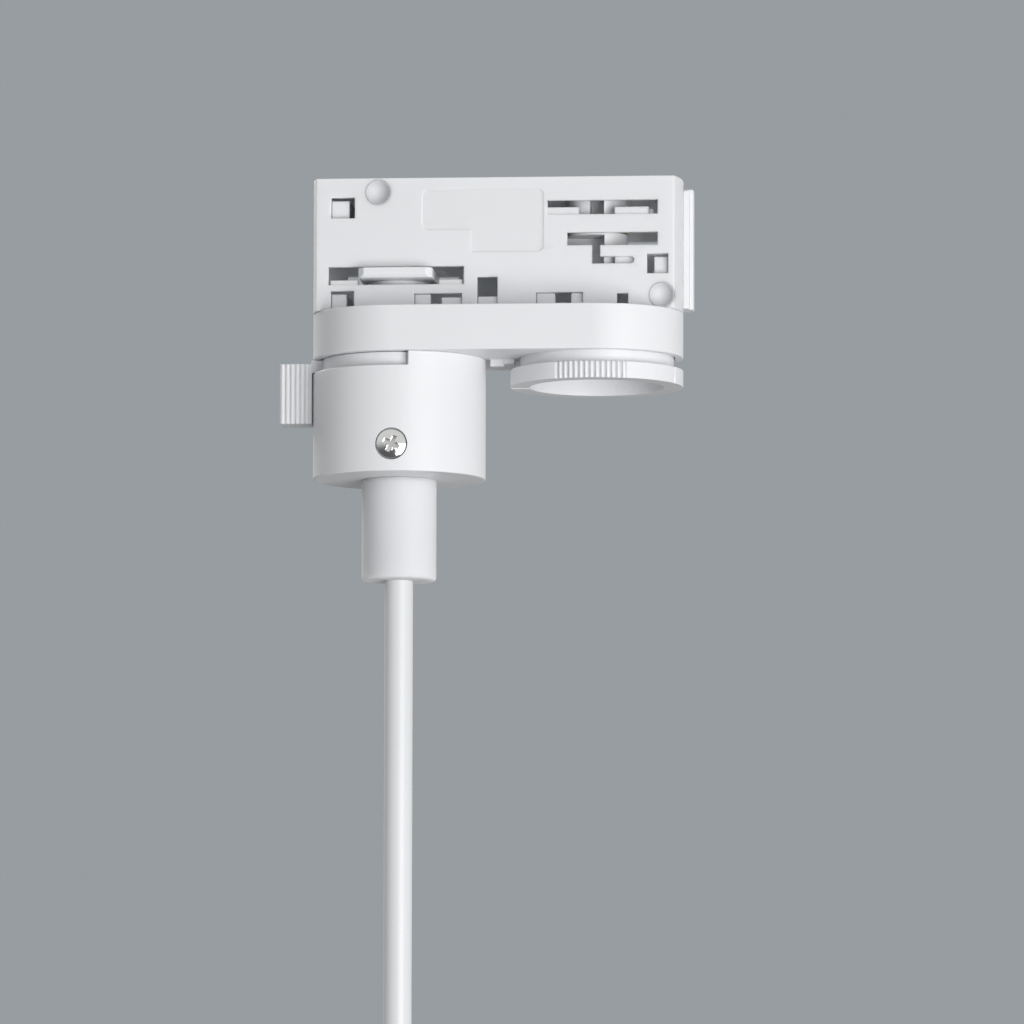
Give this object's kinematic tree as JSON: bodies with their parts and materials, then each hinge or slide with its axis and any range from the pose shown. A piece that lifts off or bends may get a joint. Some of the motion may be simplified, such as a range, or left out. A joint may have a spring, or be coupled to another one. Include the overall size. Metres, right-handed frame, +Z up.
{
  "type": "track light adapter",
  "caption": "Pendant adapter for a lighting track: slotted tower, stadium collar, cable pot with locking lever, circuit selector knob and hanging cable.",
  "frame": {"origin": "on the collar's top face, where the track's underside rests, midway between the lock axis and the selector axis", "axes": "+Z up into the track, +X along the track from the cable pot to the selector knob, +Y from the slotted front face to the rear face"},
  "size_m": [0.0813, 0.0343, 0.2022],
  "materials": {
    "white_plastic": "satin",
    "inner_plastic": "satin",
    "sleeve": "satin",
    "cable_jacket": "gloss",
    "plated_steel": "polished",
    "spring_steel": "satin",
    "contact_brass": "satin",
    "core_brown": "satin",
    "core_blue": "satin",
    "core_earth": "satin"
  },
  "bodies": {
    "housing": {"front_shell": "white_plastic", "rear_shell": "white_plastic", "housing_pins": "white_plastic", "guide_key": "white_plastic", "base_collar": "white_plastic", "base_plate": "white_plastic", "cable_pot": "white_plastic", "pot_screws": "plated_steel", "clamp_screw": "plated_steel", "cord_clamp": "inner_plastic", "cord_sleeve": "sleeve", "cord_tail": "cable_jacket", "live_core": "core_brown", "neutral_core": "core_blue", "earth_core": "core_earth", "live_brush": "contact_brass", "neutral_brush": "contact_brass", "earth_brush": "plated_steel", "detent_spring": "spring_steel", "cord": "cable_jacket", "cord_grip": "white_plastic"},
    "lock": {"lock_lever": "white_plastic", "lock_rotor": "inner_plastic", "lock_wing": "white_plastic", "neutral_contact": "contact_brass", "earth_contact": "plated_steel", "lock_clip": "spring_steel"},
    "selector": {"selector_ring": "white_plastic", "selector_rotor": "inner_plastic", "selector_screw": "plated_steel", "slip_ring": "contact_brass", "upper_contact": "contact_brass", "lower_contact": "contact_brass"}
  },
  "joints": [
    {"name": "lever_turn", "type": "hinge", "parent": "housing", "child": "lock", "pos_m": [-0.0195, 0, 0], "axis": [0, 0, 1], "range_deg": [0, 90]},
    {"name": "selector_turn", "type": "hinge", "parent": "housing", "child": "selector", "pos_m": [0.0195, 0, 0], "axis": [0, 0, 1], "range_deg": [-225, 0]}
  ]
}
